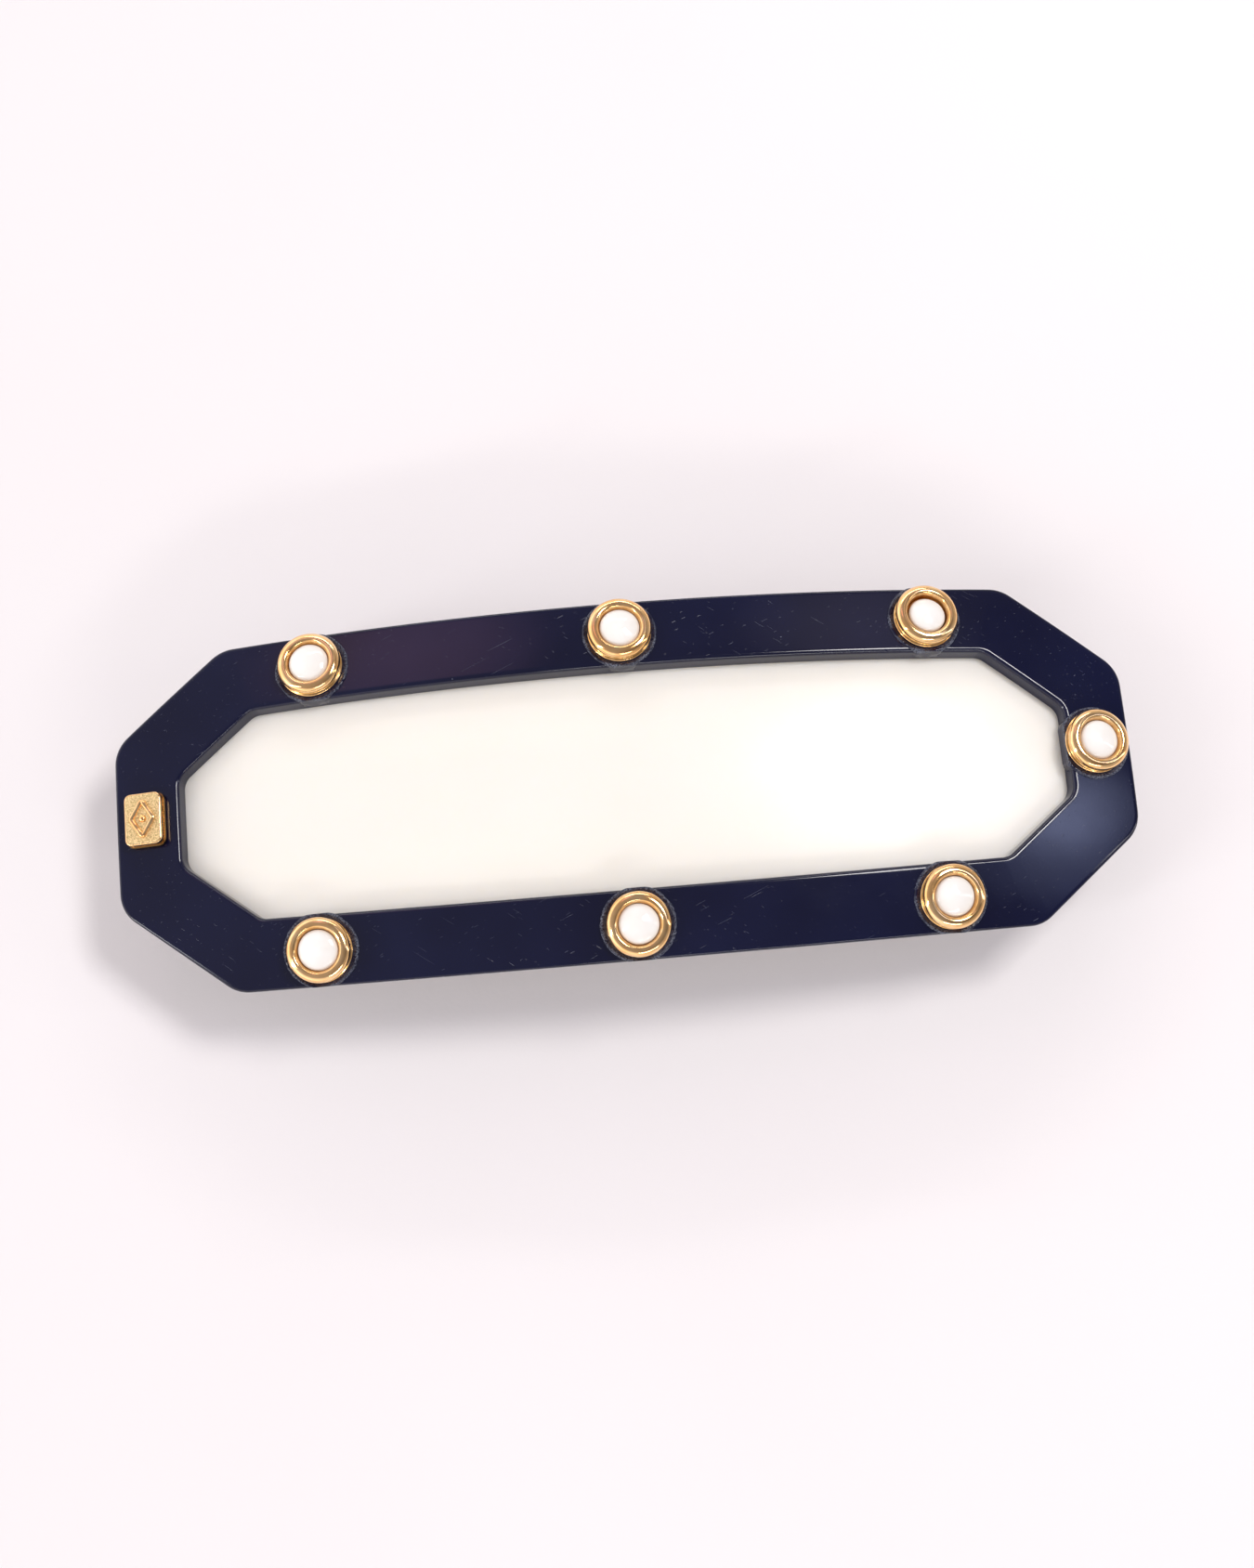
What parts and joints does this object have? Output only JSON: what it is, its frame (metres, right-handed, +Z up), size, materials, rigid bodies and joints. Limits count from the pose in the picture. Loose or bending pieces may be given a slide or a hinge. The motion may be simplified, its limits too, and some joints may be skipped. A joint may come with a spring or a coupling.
{
  "type": "barrette",
  "caption": "Arched oblong hair barrette: navy frame around a recessed ivory panel, domed gold studs on the rim, and a steel French clip with a hinged arm and a pinch latch behind.",
  "frame": {"origin": "under the middle of the face, at the level of the clip's lowest points, with the barrette lying face up on its closed clip", "axes": "+X along the length from the gold tile towards the single end stud, +Y across the width, +Z up out of the face"},
  "size_m": [0.099, 0.0358, 0.0171],
  "materials": {
    "navy_acetate": "polished navy cellulose acetate, finely scuffed",
    "ivory_acetate": "satin ivory cellulose acetate",
    "polished_gold": "polished gold plating over brass",
    "white_cabochon": "glossy opaque white resin",
    "matte_gold": "sand-textured gold plating over cast brass",
    "clip_steel": "nickel-plated spring steel"
  },
  "bodies": {
    "face_and_clip": {"navy_frame": "navy_acetate", "ivory_panel": "ivory_acetate", "stud_cup_1": "polished_gold", "stud_cup_2": "polished_gold", "stud_cup_3": "polished_gold", "stud_cup_4": "polished_gold", "stud_cup_5": "polished_gold", "stud_cup_6": "polished_gold", "stud_cup_7": "polished_gold", "stud_pearl_1": "white_cabochon", "stud_pearl_2": "white_cabochon", "stud_pearl_3": "white_cabochon", "stud_pearl_4": "white_cabochon", "stud_pearl_5": "white_cabochon", "stud_pearl_6": "white_cabochon", "stud_pearl_7": "white_cabochon", "gold_tile": "matte_gold", "clip_base": "clip_steel", "base_rivet_hinge_end": "clip_steel", "base_rivet_latch_end": "clip_steel", "hinge_pin": "clip_steel", "bow_spring": "clip_steel", "latch_bracket": "clip_steel", "latch_rivet": "clip_steel"},
    "arm": {"closing_arm": "clip_steel"},
    "front_prong": {"latch_prong_front": "clip_steel"},
    "rear_prong": {"latch_prong_rear": "clip_steel"}
  },
  "joints": [
    {"name": "arm_hinge", "type": "hinge", "parent": "face_and_clip", "child": "arm", "pos_m": [-0.03893, 0, 0.0015], "axis": [0, 1, 0], "range_deg": [0, 70]},
    {"name": "front_prong_flex", "type": "hinge", "parent": "face_and_clip", "child": "front_prong", "pos_m": [0.03727, -0.00198, 0.00739], "axis": [0.9848, 0, -0.1737], "range_deg": [0, 8], "stiffness_Nm_per_rad": 0.05},
    {"name": "rear_prong_flex", "type": "hinge", "parent": "face_and_clip", "child": "rear_prong", "pos_m": [0.03727, 0.00198, 0.00739], "axis": [-0.9848, 0, 0.1737], "range_deg": [0, 8], "stiffness_Nm_per_rad": 0.05}
  ],
  "couplings": [
    {"joint": "rear_prong_flex", "follows": "front_prong_flex", "ratio": 1}
  ]
}
